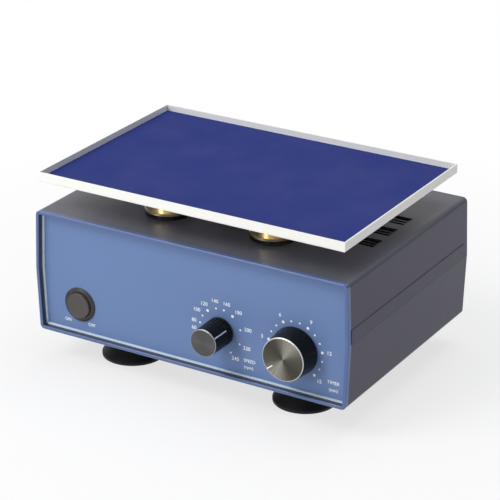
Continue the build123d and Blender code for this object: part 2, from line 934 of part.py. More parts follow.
tangent_cos = (driven_pitch - motor_pulley_pitch) / motor_distance
tangent_sin = sqrt(1 - tangent_cos**2)
belt_middle = (0, case_middle + drive_offset, pulley_middle)

with BuildPart() as drive_belt:
    with BuildLine(Plane(origin=belt_middle)) as belt_path:
        near = (-driven_pitch * tangent_cos, driven_pitch * tangent_sin)
        far = (-motor_distance - motor_pulley_pitch * tangent_cos, motor_pulley_pitch * tangent_sin)
        Line(near, far)
        ThreePointArc(far, (-motor_distance - motor_pulley_pitch, 0), (far[0], -far[1]))
        Line((far[0], -far[1]), (near[0], -near[1]))
        ThreePointArc((near[0], -near[1]), (driven_pitch, 0), near)
    start = belt_path.wire() @ 0
    along = belt_path.wire() % 0
    outwards = Vector(0, 0, 1).cross(along) * -1
    with BuildSketch(Plane(origin=start, x_dir=outwards, z_dir=along)):
        inner_depth = v_belt_pitch_depth - v_belt_thickness
        with BuildLine():
            Polyline(
                (v_belt_pitch_depth, belt_half_width(0)),
                (v_belt_pitch_depth, -belt_half_width(0)),
                (inner_depth, -belt_half_width(v_belt_thickness)),
                (inner_depth, belt_half_width(v_belt_thickness)),
                close=True,
            )
        make_face()
    sweep(path=belt_path.wire())
save(drive_belt, "drive_belt")

# Motor, hung under its bracket with the shaft up
bracket_top = pulley_middle - pulley_width / 2 - motor_gap
bracket_bottom = bracket_top - bracket_thickness
motor_bottom = floor_top + motor_floor_gap
shaft_bottom = motor_bottom + motor_end_wall

with BuildPart() as motor:
    add(posts([motor_place], motor_radius, motor_bottom, bracket_bottom))
    chamfer(motor.edges().filter_by(GeomType.CIRCLE), motor_edge)
    add(posts([motor_place], motor_nose_radius, bracket_bottom, bracket_bottom + motor_nose_height))
    add(posts(
        [motor_place],
        motor_shaft_radius + running_gap,
        shaft_bottom,
        bracket_bottom + motor_nose_height,
    ), mode=Mode.SUBTRACT)
    motor_screw_bottom = bracket_top - mount_screw_grip
    motor_tap = mount_screw_radius + seat_gap
    add(posts(motor_screw_places, motor_tap, motor_screw_bottom, bracket_bottom), mode=Mode.SUBTRACT)
save(motor, "motor")

with BuildPart() as motor_shaft:
    add(posts([motor_place], motor_shaft_radius, shaft_bottom + axial_gap, pulley_middle + pulley_width / 2))
save(motor_shaft, "motor_shaft")

with BuildPart() as motor_bracket:
    add(slab(
        motor_place,
        bracket_length,
        2 * leg_offset + bracket_thickness,
        bracket_bottom,
        bracket_top,
    ))
    add(posts([motor_place], motor_nose_radius + slot_gap, bracket_bottom, bracket_top), mode=Mode.SUBTRACT)
    for leg_y, foot_y_middle in bracket_sides:
        add(slab((motor_place[0], leg_y), bracket_length, bracket_thickness, boss_top, bracket_bottom))
        foot_place = (motor_place[0], foot_y_middle)
        add(slab(foot_place, bracket_length, bracket_foot, boss_top, boss_top + bracket_thickness))
    screw_hole = mount_screw_radius + slot_gap
    add(posts(motor_screw_places, screw_hole, bracket_bottom, bracket_top), mode=Mode.SUBTRACT)
    add(
        posts(bracket_screw_places, screw_hole, boss_top, boss_top + bracket_thickness),
        mode=Mode.SUBTRACT,
    )
save(motor_bracket, "motor_bracket")

# Mains transformer: a laminated core with the coil round its middle leg
core_middle = floor_top + core_height / 2
window_width = (core_width - core_leg - 2 * core_yoke) / 2
window_height = core_height - 2 * core_yoke
window_spread = (core_leg + window_width) / 2
core_start = case_depth / 2 + transformer_y - core_depth / 2

with BuildPart() as transformer_core:
    with BuildSketch(across(core_start)):
        with Locations((transformer_x, core_middle)):
            Rectangle(core_width, core_height)
            with Locations((-window_spread, 0), (window_spread, 0)):
                Rectangle(window_width, window_height, mode=Mode.SUBTRACT)
    extrude(amount=-core_depth)
save(transformer_core, "transformer_core")

with BuildPart() as transformer_coil:
    coil_top = core_middle + window_height / 2 - coil_clearance
    coil_bottom = core_middle - window_height / 2 + coil_clearance
    coil_width = core_leg + 2 * (window_width - coil_clearance)
    add(slab((transformer_x, transformer_y), coil_width, coil_depth, coil_bottom, coil_top))
    fillet(transformer_coil.edges().filter_by(Axis.Z), core_yoke / 2)
    add(slab(
        (transformer_x, transformer_y),
        core_leg + 2 * seat_gap,
        core_depth + 2 * seat_gap,
        coil_bottom,
        coil_top,
    ), mode=Mode.SUBTRACT)
save(transformer_coil, "transformer_coil")

board_top = boss_top + board_thickness

with BuildPart() as control_board:
    add(slab((board_x, board_y), board_width, board_depth, boss_top, board_top))
    add(
        posts(board_screw_places, mount_screw_radius + slot_gap, boss_top, board_top),
        mode=Mode.SUBTRACT,
    )
    cans = [(board_x + x, board_y + y) for x, y in capacitor_places]
    add(posts(cans, capacitor_radius, board_top, board_top + capacitor_height))
    sink_place = (board_x + heat_sink_place[0], board_y + heat_sink_place[1])
    add(slab(sink_place, heat_sink_width, heat_sink_depth, board_top, board_top + heat_sink_height))
    block_place = (board_x + relay_place[0], board_y + relay_place[1])
    add(slab(block_place, relay_width, relay_depth, board_top, board_top + relay_height))
save(control_board, "control_board")

# One kind of cap screw fastens the housings, the motor, its bracket and the board
screw_seats = [
    (housing_screw_places, flange_top),
    (motor_screw_places, bracket_top),
    (bracket_screw_places, boss_top + bracket_thickness),
    (board_screw_places, board_top),
]

with BuildPart() as mounting_screws:
    for places, seat in screw_seats:
        add(posts(places, mount_screw_radius, seat - mount_screw_grip, seat))
        add(posts(places, mount_screw_head_radius, seat, seat + mount_screw_head))
save(mounting_screws, "mounting_screws")

# Tray: a folded pan with a rubber mat, carried on five bearing cups
pan_floor = tray_bottom + tray_sheet
tray_top = tray_bottom + tray_rim
tray_place = drive_pin_place
screw_reach = pin_bearing[1] + cup_wall + cup_flange / 2
drive_screw_reach = drive_pin_bearing[1] + cup_wall + cup_flange / 2
tray_screw_places = [(x + side * screw_reach, y) for x, y in pin_places for side in (-1, 1)]
tray_screw_places += [
    (drive_pin_place[0] + side * drive_screw_reach, drive_pin_place[1]) for side in (-1, 1)
]
cup_flange_bottom = tray_bottom - cup_flange_height

with BuildPart() as tray_pan:
    add(slab(tray_place, tray_width, tray_depth, tray_bottom, tray_top))
    fillet(tray_pan.faces().sort_by(Axis.Z)[0].edges(), tray_bend)
    add(slab(
        tray_place,
        tray_width - 2 * tray_sheet,
        tray_depth - 2 * tray_sheet,
        pan_floor,
        tray_top,
    ), mode=Mode.SUBTRACT)
    head_hole = tray_screw_head_radius + slot_gap
    add(posts(tray_screw_places, head_hole, tray_bottom, pan_floor), mode=Mode.SUBTRACT)
save(tray_pan, "tray_pan")

mat_margin = 2 * (tray_sheet + mat_gap)

with BuildPart() as tray_mat:
    mat_width = tray_width - mat_margin
    mat_depth = tray_depth - mat_margin
    add(slab(tray_place, mat_width, mat_depth, pan_floor, pan_floor + mat_thickness))
save(tray_mat, "tray_mat")


def cup_profile(bearing):
    """Flanged cup that hangs under the tray, with a relief above its bearing."""
    outer, width = bearing[1:]
    seat = outer + seat_gap
    return [
        (seat, cup_bottom),
        (outer + cup_wall, cup_bottom),
        (outer + cup_wall, cup_flange_bottom),
        (outer + cup_wall + cup_flange, cup_flange_bottom),
        (outer + cup_wall + cup_flange, tray_bottom),
        (outer - cup_relief, tray_bottom),
        (outer - cup_relief, cup_bottom + width),
        (seat, cup_bottom + width),
    ]


with BuildPart() as tray_bearing_cups:
    for place in pin_places:
        add(turned(cup_profile(pin_bearing), place))
    add(turned(cup_profile(drive_pin_bearing), drive_pin_place))
    add(posts(
        tray_screw_places,
        tray_screw_radius + seat_gap,
        cup_flange_bottom,
        tray_bottom,
    ), mode=Mode.SUBTRACT)
save(tray_bearing_cups, "tray_bearing_cups")

with BuildPart() as tray_bearings:
    for place in pin_places:
        add(turned(bearing_profile(pin_bearing, cup_bottom), place))
    add(turned(bearing_profile(drive_pin_bearing, cup_bottom), drive_pin_place))
save(tray_bearings, "tray_bearings")

with BuildPart() as tray_screws:
    add(posts(tray_screw_places, tray_screw_head_radius, tray_bottom, pan_floor))
    add(posts(tray_screw_places, tray_screw_radius, cup_flange_bottom, tray_bottom))
save(tray_screws, "tray_screws")

# Power switch: a round latching button in a ring that clips into the panel
ring_face = panel_recess - ring_height
button_face = panel_recess - button_reach
button_back = button_face + button_length
cavity_end = button_back + button_travel + axial_gap + stem_length
switch_end = panel_back + switch_depth

with BuildPart() as power_switch:
    add(spun(
        [
            (0, cavity_end),
            (button_radius + loose_gap, cavity_end),
            (button_radius + loose_gap, ring_face),
            (ring_radius - ring_height, ring_face),
            (ring_radius, panel_recess - ring_height / 3),
            (ring_radius, panel_recess),
            (switch_radius, panel_recess),
            (switch_radius, switch_end),
            (0, switch_end),
        ],
        (button_x, button_z),
    ))
    add(barrels(
        [(button_x, button_z)],
        stem_radius + loose_gap,
        cavity_end,
        cavity_end + button_travel + axial_gap,
    ), mode=Mode.SUBTRACT)
save(power_switch, "power_switch")

with BuildPart() as power_button:
    add(spun(
        [
            (0, button_face + button_dish),
            (button_radius - 2 * button_dish, button_face + button_dish / 2),
            (button_radius - button_dish, button_face),
            (button_radius, button_face + button_dish),
            (button_radius, button_back),
            (stem_radius, button_back),
            (stem_radius, cavity_end),
            (0, cavity_end),
        ],
        (button_x, button_z),
    ))
save(power_button, "power_button")

spring_start = (button_x, case_front + button_back + spring_wire, button_z)
spring_length = cavity_end - button_back - 2 * spring_wire

with BuildPart() as button_spring:
    with BuildLine() as spring_path:
        Helix(
            pitch=spring_length / spring_turns,
            height=spring_length,
            radius=spring_radius,
            center=spring_start,
            direction=(0, 1, 0),
        )
    with BuildSketch(Plane(origin=spring_path.edge() @ 0, z_dir=spring_path.edge() % 0)):
        Circle(spring_wire / 2)
    sweep(path=spring_path.edge())
save(button_spring, "button_spring")


def knob_profile(base_radius, top_radius, reach):
    """Skirted knob, hollow at the back and recessed in front for its cap."""
    base = panel_recess - knob_gap
    face = panel_recess - reach
    return [
        (0, base - knob_hollow),
        (base_radius - knob_wall, base - knob_hollow),
        (base_radius - knob_wall, base),
        (base_radius, base),
        (top_radius, face + knob_cap),
        (top_radius - knob_cap_rim, face + knob_cap),
        (top_radius - knob_cap_rim, face + 2 * knob_cap),
        (0, face + 2 * knob_cap),
    ]


def flutes(place, radius, count, start, end):
    """Grip grooves round a knob, stopping short of its skirt and its cap."""
    with BuildPart() as made:
        with BuildSketch(across(start)):
            with Locations(place):
                with PolarLocations(radius, count):
                    Circle(flute_radius)
        extrude(amount=start - end)
    return made.part


def pointer(place, angle, inner, outer, start, end):
    """Straight pointer groove, at a clockwise angle from the top of the dial."""
    middle = (inner + outer) / 2
    centre = (place[0] + middle * sin(radians(angle)), place[1] + middle * cos(radians(angle)))
    with BuildPart() as made:
        with BuildSketch(across(start)):
            with Locations(centre):
                Rectangle(pointer_width, outer - inner, rotation=-angle)
        extrude(amount=start - end)
    return made.part


def cap_profile(top_radius, reach):
    """Turned cap: a chamfered rim over the knob, with a plug that seats inside it."""
    face = panel_recess - reach
    plug = top_radius - knob_cap_rim - seat_gap
    return [
        (0, face),
        (top_radius - knob_cap, face),
        (top_radius, face + knob_cap / 2),
        (top_radius, face + knob_cap),
        (plug, face + knob_cap),
        (plug, face + 2 * knob_cap),
        (0, face + 2 * knob_cap),
    ]


def knob_bore_end(reach):
    """Distance behind the front at which a knob's blind bore stops."""
    return panel_recess - reach + 2 * knob_cap + knob_wall


# Speed knob: fluted, with a pointer line along its side
knob_base = panel_recess - knob_gap
speed_place = (speed_x, speed_z)
timer_place = (timer_x, timer_z)
knob_bore = spindle_radius + seat_gap
speed_face = panel_recess - speed_reach
speed_bore_end = knob_bore_end(speed_reach)

with BuildPart() as speed_knob:
    add(spun(knob_profile(speed_radius, speed_top_radius, speed_reach), speed_place))
    add(barrels([speed_place], knob_bore, speed_bore_end, knob_base), mode=Mode.SUBTRACT)
    flute_end = knob_base - knob_wall
    speed_flutes_cut = flutes(speed_place, speed_radius, speed_flutes, speed_bore_end, flute_end)
    add(speed_flutes_cut, mode=Mode.SUBTRACT)
    line_start = speed_face + knob_cap
    line_end = speed_face + speed_reach * speed_pointer_share
    line_inner = speed_top_radius - 2 * pointer_depth
    line_outer = speed_radius + pointer_depth
    speed_line = pointer(speed_place, speed_pointer_angle, line_inner, line_outer, line_start, line_end)
    add(speed_line, mode=Mode.SUBTRACT)
save(speed_knob, "speed_knob")

with BuildPart() as speed_knob_cap:
    add(spun(cap_profile(speed_top_radius, speed_reach), speed_place))
save(speed_knob_cap, "speed_knob_cap")

# Timer knob: smooth, with two fine rings behind a cap that carries the pointer mark
timer_face = panel_recess - timer_reach
timer_bore_end = knob_bore_end(timer_reach)
timer_taper = (timer_radius - timer_top_radius) / (timer_reach - knob_gap - knob_cap)

with BuildPart() as timer_knob:
    add(spun(knob_profile(timer_radius, timer_top_radius, timer_reach), timer_place))
    add(barrels([timer_place], knob_bore, timer_bore_end, knob_base), mode=Mode.SUBTRACT)
    for distance in timer_ring_places:
        ring_at = timer_face + knob_cap + distance
        ring_outside = timer_top_radius + distance * timer_taper
        ring_profile = [
            (ring_outside - timer_ring_groove, ring_at),
            (ring_outside + timer_ring_groove, ring_at - timer_ring_groove),
            (ring_outside + timer_ring_groove, ring_at + timer_ring_groove),
        ]
        add(spun(ring_profile, timer_place), mode=Mode.SUBTRACT)
save(timer_knob, "timer_knob")

with BuildPart() as timer_knob_cap:
    add(spun(cap_profile(timer_top_radius, timer_reach), timer_place))
    mark_inner = timer_top_radius * timer_pointer_span[0]
    mark_outer = timer_top_radius * timer_pointer_span[1]
    mark_end = timer_face + pointer_depth
    timer_mark = pointer(timer_place, timer_pointer_angle, mark_inner, mark_outer, timer_face, mark_end)
    add(timer_mark, mode=Mode.SUBTRACT)
save(timer_knob_cap, "timer_knob_cap")

spindle_starts = {"speed": speed_bore_end + axial_gap, "timer": timer_bore_end + axial_gap}
controls = {
    "speed": (speed_place, speed_pot_radius, speed_pot_depth, "speed_control"),
    "timer": (timer_place, timer_body_radius, timer_body_depth, "timer_unit"),
}

for name, (place, body_radius, body_depth, body_name) in controls.items():
    spindle_end = panel_back + body_depth / 2
    bushing_start = panel_back - bushing_length
    with BuildPart() as body:
        add(barrels([place], body_radius, panel_back, panel_back + body_depth))
        chamfer(body.edges().filter_by(GeomType.CIRCLE), motor_edge / 2)
        add(barrels([place], bushing_radius, bushing_start, panel_back))
        spindle_hole = barrels([place], spindle_radius + running_gap, bushing_start, spindle_end)
        add(spindle_hole, mode=Mode.SUBTRACT)
    save(body, body_name)

    with BuildPart() as spindle:
        add(barrels([place], spindle_radius, spindle_starts[name], spindle_end - axial_gap))
    save(spindle, f"{name}_spindle")

with BuildPart() as bushing_nuts:
    with BuildSketch(across(panel_recess - nut_height)):
        with Locations(speed_place, timer_place):
            RegularPolygon(nut_size / 2, 6, major_radius=False)
            Circle(bushing_radius + seat_gap, mode=Mode.SUBTRACT)
    extrude(amount=-nut_height)
save(bushing_nuts, "bushing_nuts")

# Mains inlet: a shrouded three-blade socket with a fuse drawer under it
inlet_face = rear_panel_face + inlet_flange
inlet_back = inlet_face - inlet_depth
socket_z = inlet_z + socket_rise
drawer_z = inlet_z - drawer_drop
socket_floor = inlet_face - socket_depth

with BuildPart() as power_inlet:
    with BuildSketch(across(inlet_back)):
        with Locations((inlet_x, inlet_z)):
            Rectangle(inlet_width, inlet_height)
    extrude(amount=-inlet_depth)
    with BuildSketch(across(rear_panel_face)):
        with Locations((inlet_x, inlet_z)):
            RectangleRounded(inlet_flange_width, inlet_height + 2 * inlet_flange, inlet_corner)
        with Locations(*[(x, inlet_z) for x in screw_xs]):
            Circle(inlet_screw_radius + slot_gap, mode=Mode.SUBTRACT)
    extrude(amount=-inlet_flange)
    with BuildSketch(across(socket_floor)):
        with Locations((inlet_x, socket_z)):
            RectangleRounded(socket_width, socket_height, socket_corner)
    extrude(amount=-socket_depth, mode=Mode.SUBTRACT)
    with BuildSketch(across(inlet_face - drawer_depth)):
        with Locations((inlet_x, drawer_z)):
            Rectangle(drawer_width + 2 * slot_gap, drawer_height + 2 * slot_gap)
    extrude(amount=-drawer_depth, mode=Mode.SUBTRACT)
save(power_inlet, "power_inlet")

with BuildPart() as inlet_blades:
    with BuildSketch(across(socket_floor)):
        with Locations(
            (inlet_x - blade_spread, socket_z - blade_drop),
            (inlet_x, socket_z + blade_drop),
            (inlet_x + blade_spread, socket_z - blade_drop),
        ):
            Rectangle(blade_width, blade_height)
    extrude(amount=-blade_length)
save(inlet_blades, "inlet_blades")

with BuildPart() as fuse_drawer:
    with BuildSketch(across(inlet_face - drawer_depth)):
        with Locations((inlet_x, drawer_z)):
            Rectangle(drawer_width, drawer_height)
    extrude(amount=-drawer_depth)
    with BuildSketch(across(inlet_face - inlet_flange / 2)):
        with Locations((inlet_x, drawer_z - drawer_height / 4)):
            Rectangle(drawer_width / 3, drawer_height / 4)
    extrude(amount=-inlet_flange / 2, mode=Mode.SUBTRACT)
save(fuse_drawer, "fuse_drawer")

with BuildPart() as inlet_screws:
    screw_places = [(x, inlet_z) for x in screw_xs]
    add(barrels(
        screw_places,
        inlet_screw_radius,
        rear_panel_face - 2 * rear_panel_thickness,
        inlet_face,
    ))
    add(barrels(
        screw_places,
        inlet_screw_head_radius,
        inlet_face,
        inlet_face + rear_inset - inlet_flange,
    ))
save(inlet_screws, "inlet_screws")
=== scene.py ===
import bmesh
import bpy
from math import cos, pi, radians, sin
from mathutils import Matrix, Vector


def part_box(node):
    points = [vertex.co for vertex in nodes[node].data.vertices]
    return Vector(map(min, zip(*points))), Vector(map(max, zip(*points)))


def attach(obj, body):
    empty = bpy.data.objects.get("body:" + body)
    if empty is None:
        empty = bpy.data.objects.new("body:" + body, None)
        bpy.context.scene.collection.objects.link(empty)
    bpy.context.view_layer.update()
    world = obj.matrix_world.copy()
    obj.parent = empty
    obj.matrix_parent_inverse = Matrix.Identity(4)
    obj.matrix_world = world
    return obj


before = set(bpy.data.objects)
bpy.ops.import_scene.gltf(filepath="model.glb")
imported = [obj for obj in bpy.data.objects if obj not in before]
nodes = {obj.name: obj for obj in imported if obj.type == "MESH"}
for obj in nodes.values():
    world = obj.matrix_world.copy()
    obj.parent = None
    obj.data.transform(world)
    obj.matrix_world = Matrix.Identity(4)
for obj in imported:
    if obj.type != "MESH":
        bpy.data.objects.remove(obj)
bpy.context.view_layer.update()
MM = 0.001
CORNERS = ("front_left", "front_right", "rear_left", "rear_right")

# Camera, at the photograph's viewing angle
CAMERA_PLACE = (0.9428, -1.56115, 0.8960)
CAMERA_AZIMUTH = 31.03
CAMERA_ELEVATION = 23.38
CAMERA_LENS = 153.32
SENSOR_WIDTH = 36.0
CLIP_START = 0.05
CLIP_END = 50.0

camera_data = bpy.data.cameras.new("camera")
camera_data.lens = CAMERA_LENS
camera_data.sensor_width = SENSOR_WIDTH
camera_data.sensor_fit = "HORIZONTAL"
camera_data.clip_start = CLIP_START
camera_data.clip_end = CLIP_END
camera = bpy.data.objects.new("camera", camera_data)
camera.location = CAMERA_PLACE
camera.rotation_euler = (radians(90 - CAMERA_ELEVATION), 0, radians(CAMERA_AZIMUTH))
bpy.context.scene.collection.objects.link(camera)
bpy.context.scene.camera = camera
bpy.context.scene.view_settings.view_transform = "Standard"

# Square lamps that face the object: name, place, size, power in watts and tint
LAMP_AIM = (0, 0, 0.09)
LAMPS = (
    ("key", (-1.1, -1.5, 2.2), 1.3, 38.0, (1.0, 0.99, 0.97)),
    ("front", (-0.9, -2.3, 0.72), 1.0, 16.0, (0.99, 0.99, 1.0)),
    ("top", (0.2, 0.5, 2.4), 1.6, 22.0, (0.98, 0.99, 1.0)),
    ("side", (2.4, 0.2, 0.9), 1.2, 2.0, (0.95, 0.97, 1.0)),
)
for name, place, size, watts, tint in LAMPS:
    lamp_data = bpy.data.lights.new(name, "AREA")
    lamp_data.size = size
    lamp_data.energy = watts
    lamp_data.color = tint
    lamp = bpy.data.objects.new(name, lamp_data)
    lamp.location = place
    lamp.rotation_euler = (Vector(LAMP_AIM) - Vector(place)).to_track_quat("-Z", "Y").to_euler()
    bpy.context.scene.collection.objects.link(lamp)


# Shader nodes
def connect(tree, value, target):
    """Links a socket to a target, or sets a plain value on it."""
    if isinstance(value, bpy.types.NodeSocket):
        tree.links.new(value, target)
    else:
        target.default_value = value


def add_node(tree, kind, **inputs):
    """New node, with its inputs by name and an underscore for each space."""
    node = tree.nodes.new("ShaderNode" + kind)
    for socket, value in inputs.items():
        connect(tree, value, node.inputs[socket.replace("_", " ")])
    return node


def add_math(tree, kind, operation, *values):
    """New Math or VectorMath node, with its inputs in order."""
    node = add_node(tree, kind)
    node.operation = operation
    for target, value in zip(node.inputs, values):
        connect(tree, value, target)
    return node


def seen_directly(tree):
    """1 for rays that show a surface to the camera, straight or by a mirror or glass, else 0."""
    path = add_node(tree, "LightPath")
    total = path.outputs["Is Camera Ray"]
    for kind in ("Is Glossy Ray", "Is Transmission Ray"):
        total = add_math(tree, "Math", "MAXIMUM", total, path.outputs[kind]).outputs[0]
    return total


def show_mixed(tree, output, share, plain, seen):
    """Sends one shader to the output where a share is 0 and another where it is 1."""
    mixed = add_node(tree, "MixShader", Fac=share)
    tree.links.new(plain.outputs[0], mixed.inputs[1])
    tree.links.new(seen.outputs[0], mixed.inputs[2])
    tree.links.new(mixed.outputs[0], add_node(tree, output).inputs["Surface"])


# World, white where it is seen and dimmer where it lights the object
WHITE = (1, 1, 1, 1)
WORLD_TINT = (0.93, 0.96, 1.0, 1)
WORLD_STRENGTH = 0.26

world = bpy.data.worlds.new("studio")
bpy.context.scene.world = world
world.use_nodes = True
world.node_tree.nodes.clear()
show_mixed(
    world.node_tree,
    "OutputWorld",
    seen_directly(world.node_tree),
    add_node(world.node_tree, "Background", Color=WORLD_TINT, Strength=WORLD_STRENGTH),
    add_node(world.node_tree, "Background", Color=WHITE, Strength=1.0),
)

# Noise: how rough it is, and its detail in fine, plain and cloudy layers
NOISE_ROUGHNESS = 0.55
FINE = 2.0
PLAIN = 3.0
CLOUDY = 4.0
# Edge wear: how sharp an edge is where wear starts and where it is full, how far full wear
# covers the paint, and its patches, with the share that the least worn ones keep of it
WEAR_START = 0.52
WEAR_FULL = 0.60
WEAR_AMOUNT = 0.5
WEAR_PATCHES = 60.0
WEAR_LEAST = 0.2
# Spokes round a spun face, and how far they dim and light its painted highlight
SPOKES = 14.0
SPOKE_DIM = 0.6
SPOKE_LIGHT = 1.1
# Upward share of a normal where a face starts to count as a top, and where it is one
TOP_START = 0.45
TOP_FULL = 0.95


class Shader:
    """Principled material with a few short calls for procedural inputs, in object space."""

    def __init__(self, name, color, roughness, metallic=0.0, **sockets):
        self.material = bpy.data.materials.new(name)
        self.material.use_nodes = True
        self.tree = self.material.node_tree
        self.bsdf = self.tree.nodes["Principled BSDF"]
        self.color = color
        self.paint = color
        self.normal = None
        sockets = {"Base_Color": (*color, 1), "Roughness": roughness, "Metallic": metallic, **sockets}
        for socket, value in sockets.items():
            self.bsdf.inputs[socket.replace("_", " ")].default_value = value

    def new(self, kind, **inputs):
        return add_node(self.tree, kind, **inputs)

    def link(self, source, socket):
        self.tree.links.new(source, self.bsdf.inputs[socket])

    def math(self, operation, *values):
        return add_math(self.tree, "Math", operation, *values).outputs[0]

    def vector_math(self, operation, *values):
        return add_math(self.tree, "VectorMath", operation, *values).outputs

    def space(self, stretch=(1, 1, 1), centre=(0, 0, 0)):
        """Object coordinates, moved to a centre and then stretched."""
        moved = self.vector_math("SUBTRACT", self.new("TexCoord").outputs["Object"], centre)[0]
        return self.vector_math("MULTIPLY", moved, stretch)[0]

    def distance(self, place):
        return self.vector_math("LENGTH", place)["Value"]

    def noise(self, scale, detail=PLAIN, stretch=(1, 1, 1)):
        place = self.space(stretch)
        noise = self.new("TexNoise", Vector=place, Scale=scale, Detail=detail, Roughness=NOISE_ROUGHNESS)
        return noise.outputs["Fac"]

    def streaks(self, value, detail):
        """Noise along one value only."""
        noise = self.new("TexNoise", Scale=1.0, Detail=detail)
        noise.noise_dimensions = "1D"
        self.tree.links.new(value, noise.inputs["W"])
        return noise.outputs["Fac"]

    def ranged(self, value, low, high, from_low=0.3, from_high=0.7):
        """Moves a value from one range to another."""
        ends = {"From_Min": from_low, "From_Max": from_high, "To_Min": low, "To_Max": high}
        return self.new("MapRange", Value=value, **ends).outputs[0]

    def mix(self, factor, first, second):
        """Colour between two others, each a socket or three plain numbers."""
        node = self.new("Mix", Factor=factor)
        node.data_type = "RGBA"
        for target, value in zip(node.inputs[6:8], (first, second)):
            connect(self.tree, value if isinstance(value, bpy.types.NodeSocket) else (*value, 1), target)
        return node.outputs[2]

    def cover(self, mask, over, under=None):
        """Base colour that changes to another one where a mask is 1."""
        self.paint = self.mix(mask, under or self.paint, over)
        self.link(self.paint, "Base Color")

    def vary_color(self, value, low, high):
        """Base colour that runs from low to high times itself with a value."""
        dark = tuple(low * c for c in self.color)
        light = tuple(min(1.0, high * c) for c in self.color)
        self.cover(value, light, dark)

    def vary_roughness(self, value, low, high):
        self.link(self.ranged(value, low, high), "Roughness")

    def bump(self, value, distance, strength=1.0):
        """Adds a layer of relief, this many metres high."""
        node = self.new("Bump", Height=value, Distance=distance, Strength=strength)
        if self.normal:
            self.tree.links.new(self.normal, node.inputs["Normal"])
        self.normal = node.outputs["Normal"]
        self.link(self.normal, "Normal")

    def within(self, centre, half):
        """1 inside a box and its mirror image across the middle plane of the object, else 0."""
        place = self.new("SeparateXYZ", Vector=self.new("TexCoord").outputs["Object"]).outputs
        across = self.math("COMPARE", self.math("ABSOLUTE", place[0]), centre[0], half[0])
        along = self.math("COMPARE", place[1], centre[1], half[1])
        up = self.math("COMPARE", place[2], centre[2], half[2])
        return self.math("MULTIPLY", self.math("MULTIPLY", across, along), up)

    def facing_up(self):
        """1 on upward faces of the object, 0 on its sides and underneath."""
        facing = self.new("SeparateXYZ", Vector=self.new("TexCoord").outputs["Normal"])
        return self.ranged(facing.outputs[2], 0.0, 1.0, TOP_START, TOP_FULL)

    def spun_light(self, centre, angle, sharpness, light):
        """Painted highlight: two bright wedges across a spun face, at a clockwise angle from the top, with
        fine spokes.
        """
        place = self.new("SeparateXYZ", Vector=self.space(centre=centre)).outputs
        turn = self.math("ARCTAN2", place[0], place[2])
        lobes = self.math("ABSOLUTE", self.math("COSINE", self.math("SUBTRACT", turn, radians(angle))))
        spokes = self.streaks(self.math("MULTIPLY", turn, SPOKES), PLAIN)
        spokes = self.ranged(spokes, SPOKE_DIM, SPOKE_LIGHT)
        self.cover(self.math("MULTIPLY", self.math("POWER", lobes, sharpness), spokes), light)

    def rim_light(self, centre, radius, light):
        """Painted highlight: a bright cut edge beyond a radius from a centre on the front."""
        around = self.distance(self.space((1, 0, 1), centre))
        self.cover(self.math("GREATER_THAN", around, radius), light)

    def edge_wear(self, light):
        """Paler corners, where hands and benches rub."""
        sharp = self.new("NewGeometry").outputs["Pointiness"]
        mask = self.ranged(sharp, 0.0, WEAR_AMOUNT, WEAR_START, WEAR_FULL)
        patches = self.ranged(self.noise(WEAR_PATCHES), WEAR_LEAST, 1.0)
        self.cover(self.math("MULTIPLY", mask, patches), light)


# Makers of materials. Scales are of noise per metre; grain, peel and the like are metres high.
def moulded(name, color, roughness, grain=0.00006, grain_scale=1400.0, shade=0.06, dull=0.05, gloss=0.5):
    """Moulded plastic or casting: fine grain, faint cloudy colour and duller patches."""
    cloud_scale, patch_scale = 14.0, 35.0
    made = Shader(name, color, roughness, Specular_IOR_Level=gloss)
    made.vary_color(made.noise(cloud_scale, CLOUDY), 1 - shade, 1 + shade)
    made.vary_roughness(made.noise(patch_scale), roughness - dull, roughness + dull)
    made.bump(made.noise(grain_scale, FINE), grain)
    return made


def painted(
    name, color, roughness, peel=0.00005, peel_scale=420.0, shade=0.04, wear=None, coat=0.0, gloss=0.5
):
    """Paint or printed film: orange peel, faint cloudiness and duller patches."""
    cloud_scale, patch_scale = 9.0, 28.0
    smooth, dull = 0.05, 0.07
    made = Shader(name, color, roughness, Coat_Weight=coat, Specular_IOR_Level=gloss)
    made.vary_color(made.noise(cloud_scale, CLOUDY), 1 - shade, 1 + shade)
    made.vary_roughness(made.noise(patch_scale), roughness - smooth, roughness + dull)
    made.bump(made.noise(peel_scale, FINE), peel)
    if wear:
        made.edge_wear(wear)
    return made


def brushed(name, color, roughness, stretch=(1, 40, 40), scale=30.0, aniso=0.4, shade=0.08):
    """Rolled or brushed metal: streaks along one axis and duller patches."""
    patch_scale, streak_height = 40.0, 0.00002
    smooth, dull = 0.06, 0.10
    made = Shader(name, color, roughness, 1.0, Anisotropic=aniso)
    streak = made.noise(scale, PLAIN, stretch)
    made.vary_color(streak, 1 - shade, 1 + shade)
    made.vary_roughness(made.noise(patch_scale, CLOUDY), roughness - smooth, roughness + dull)
    made.bump(streak, streak_height)
    return made


def turned(name, color, roughness, centre, axis, aniso):
    """Turned metal: fine rings about an axis through a centre, with the gloss drawn out round it."""
    pitch, ring_height = 0.0004, 0.00001
    shade, dull = 0.06, 0.05
    along = tuple(float(letter == axis) for letter in "XYZ")
    across = tuple(float(letter != axis) for letter in "XYZ")
    made = Shader(name, color, roughness, 1.0, Anisotropic=aniso)
    spoke = made.space(across, centre)
    rings = made.streaks(made.math("MULTIPLY", made.distance(spoke), 1 / pitch), FINE)
    made.vary_color(rings, 1 - shade, 1 + shade)
    made.vary_roughness(rings, roughness - dull, roughness + dull)
    made.bump(rings, ring_height)
    turning = made.new("VectorTransform", Vector=made.vector_math("CROSS_PRODUCT", along, spoke)[0])
    turning.vector_type = "VECTOR"
    turning.convert_from = "OBJECT"
    turning.convert_to = "WORLD"
    made.link(turning.outputs[0], "Tangent")
    return made


def half_width(node):
    low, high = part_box(node)
    return (high.x - low.x) / 2


